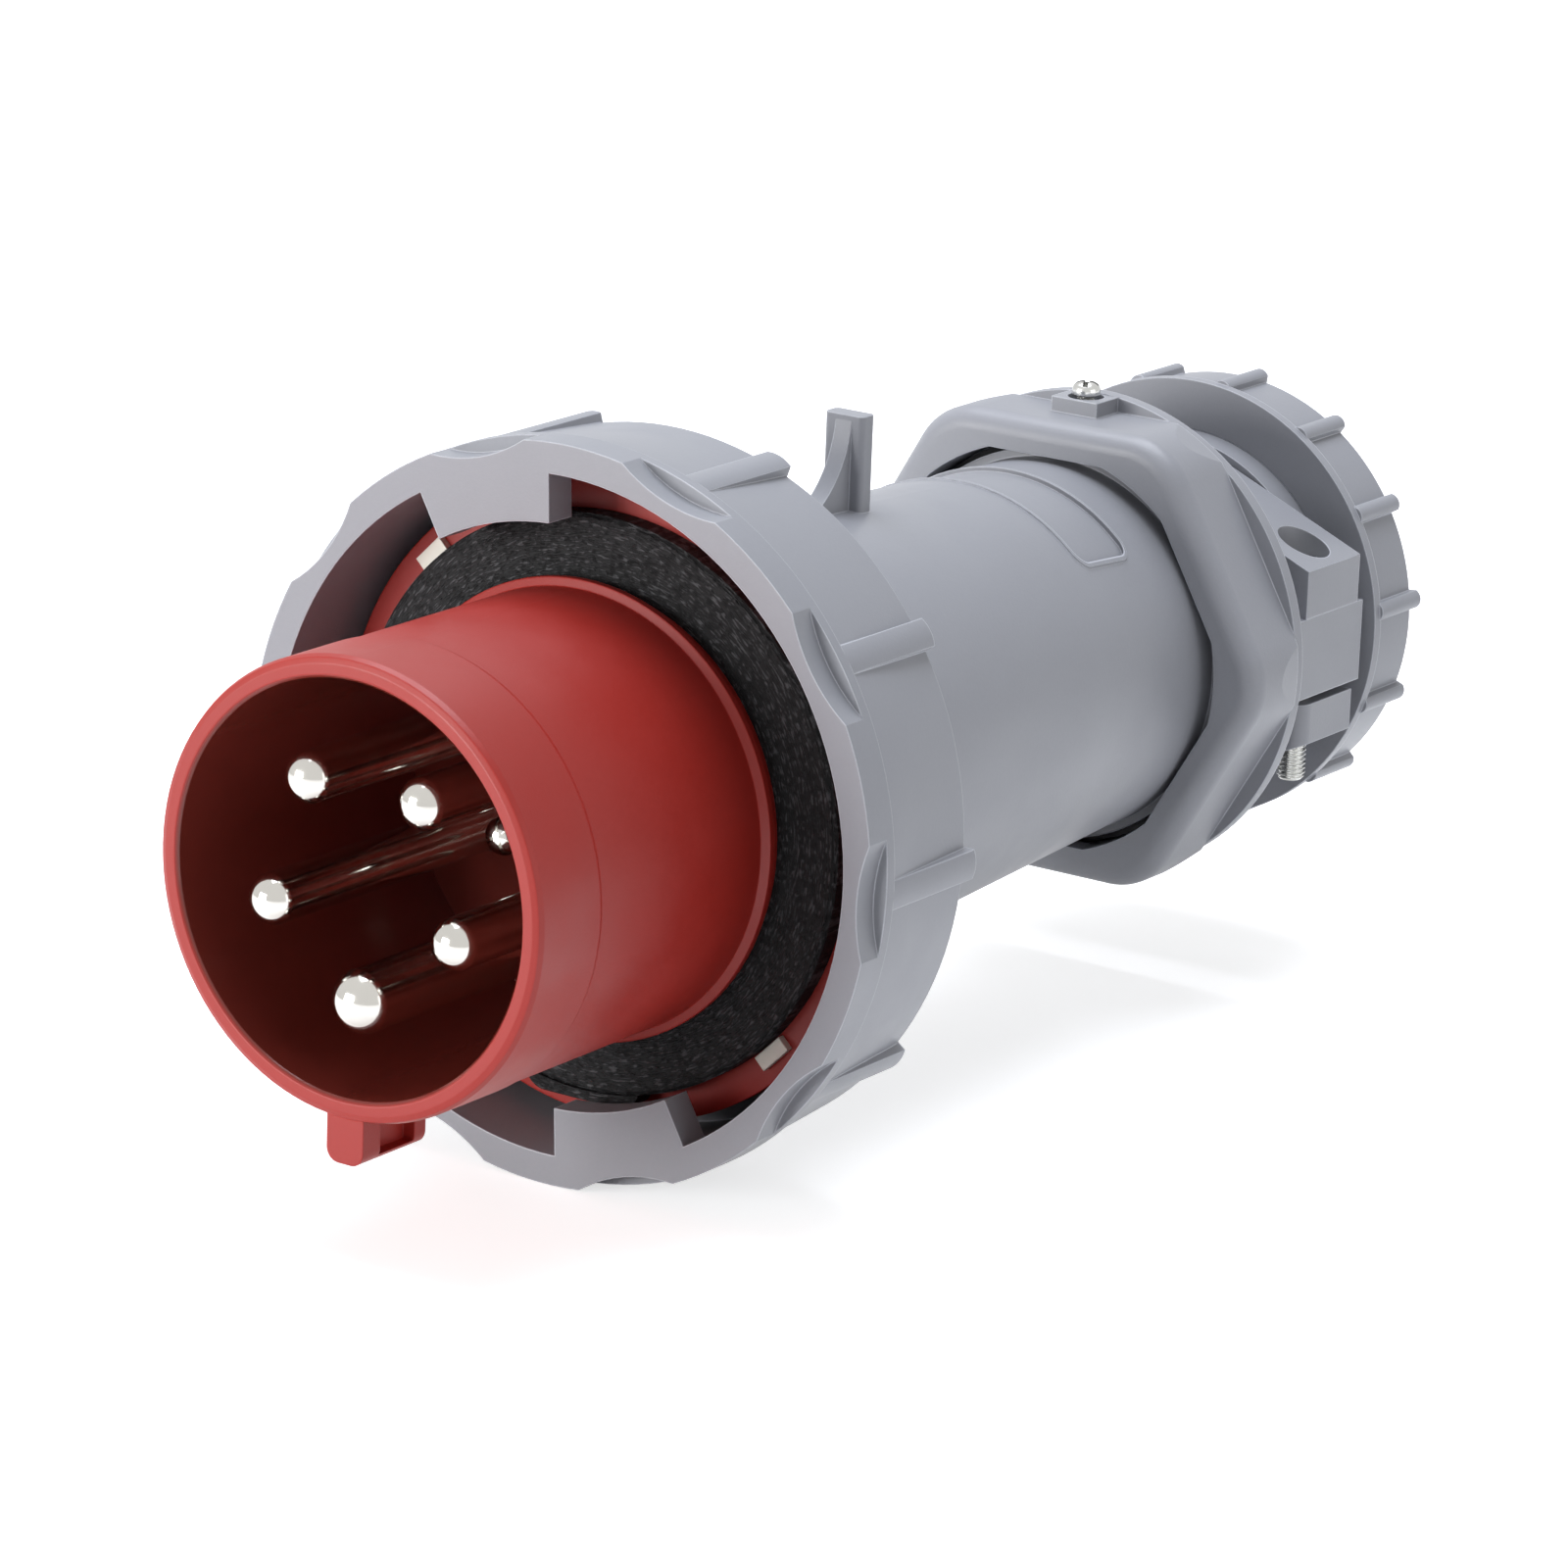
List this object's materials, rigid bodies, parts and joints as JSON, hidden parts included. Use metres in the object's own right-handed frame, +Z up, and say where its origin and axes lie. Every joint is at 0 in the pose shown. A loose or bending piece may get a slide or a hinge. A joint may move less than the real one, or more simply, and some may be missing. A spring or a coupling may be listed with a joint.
{
  "type": "industrial pin and sleeve plug",
  "caption": "Industrial pin and sleeve plug with a keyed sleeve, bayonet locking ring, tapered housing, hexagonal gland collar, screwed cable clamp and ribbed gland nut.",
  "frame": {"origin": "on the plug axis, in the plane of the sleeve's front rim", "axes": "+Y along the plug axis from the mating face to the cable gland, +Z up on the side of the lashing lug, +X to the right when the plug is seen from its mating face"},
  "size_m": [0.1176, 0.249, 0.1176],
  "materials": {
    "red_plastic": "satin moulded red",
    "grey_plastic": "satin moulded grey",
    "ivory_plastic": "satin moulded ivory",
    "slip_plastic": "satin natural",
    "black_rubber": "matt, streaky",
    "plated_contact": "nickel plated",
    "bright_steel": "bright zinc plated"
  },
  "bodies": {
    "plug_body": {"contact_carrier": "red_plastic", "terminal_block": "red_plastic", "line_pin_one": "plated_contact", "line_pin_two": "plated_contact", "line_pin_three": "plated_contact", "neutral_pin": "plated_contact", "earth_pin": "plated_contact", "pilot_pin": "plated_contact", "terminal_screws": "bright_steel", "pilot_terminal_screw": "bright_steel", "face_gasket": "black_rubber", "carrier_wedge_upper": "ivory_plastic", "carrier_wedge_lower": "ivory_plastic", "housing": "grey_plastic", "housing_seal": "black_rubber", "gland_collar": "grey_plastic", "collar_lock_screw": "bright_steel", "clamp_saddle": "grey_plastic", "gland_seal": "black_rubber"},
    "locking_ring": {"locking_ring": "grey_plastic"},
    "clamp_jaw": {"clamp_jaw": "grey_plastic", "clamp_nuts": "bright_steel"},
    "clamp_screw_right": {"clamp_screw_right": "bright_steel"},
    "clamp_screw_left": {"clamp_screw_left": "bright_steel"},
    "pressure_ring": {"pressure_ring": "slip_plastic"},
    "gland_nut": {"gland_nut": "grey_plastic"}
  },
  "joints": [
    {"name": "locking_ring_turn", "type": "hinge", "parent": "plug_body", "child": "locking_ring", "pos_m": [0, 0.065, 0], "axis": [0, -1, 0], "range_deg": [0, 45]},
    {"name": "clamp_screw_right_turn", "type": "hinge", "parent": "plug_body", "child": "clamp_screw_right", "pos_m": [0.0317, 0.2205, 0], "axis": [0, 0, 1], "range_deg": [-450, 3600]},
    {"name": "clamp_screw_left_turn", "type": "hinge", "parent": "plug_body", "child": "clamp_screw_left", "pos_m": [-0.0317, 0.2205, 0], "axis": [0, 0, 1], "range_deg": [-450, 3600]},
    {"name": "clamp_jaw_slide", "type": "slide", "parent": "plug_body", "child": "clamp_jaw", "axis": [0, 0, -1], "range_m": [-0.001, 0.008]},
    {"name": "pressure_ring_slide", "type": "slide", "parent": "plug_body", "child": "pressure_ring", "axis": [0, 1, 0], "range_m": [0, 0.006]},
    {"name": "gland_nut_turn", "type": "hinge", "parent": "pressure_ring", "child": "gland_nut", "pos_m": [0, 0.2418, 0], "axis": [0, 1, 0], "range_deg": [0, 720]}
  ],
  "couplings": [
    {"joint": "clamp_screw_right_turn", "follows": "clamp_jaw_slide", "rad_per_m": 7854},
    {"joint": "clamp_screw_left_turn", "follows": "clamp_jaw_slide", "rad_per_m": 7854},
    {"joint": "pressure_ring_slide", "follows": "gland_nut_turn", "m_per_rad": 0.00047746}
  ]
}
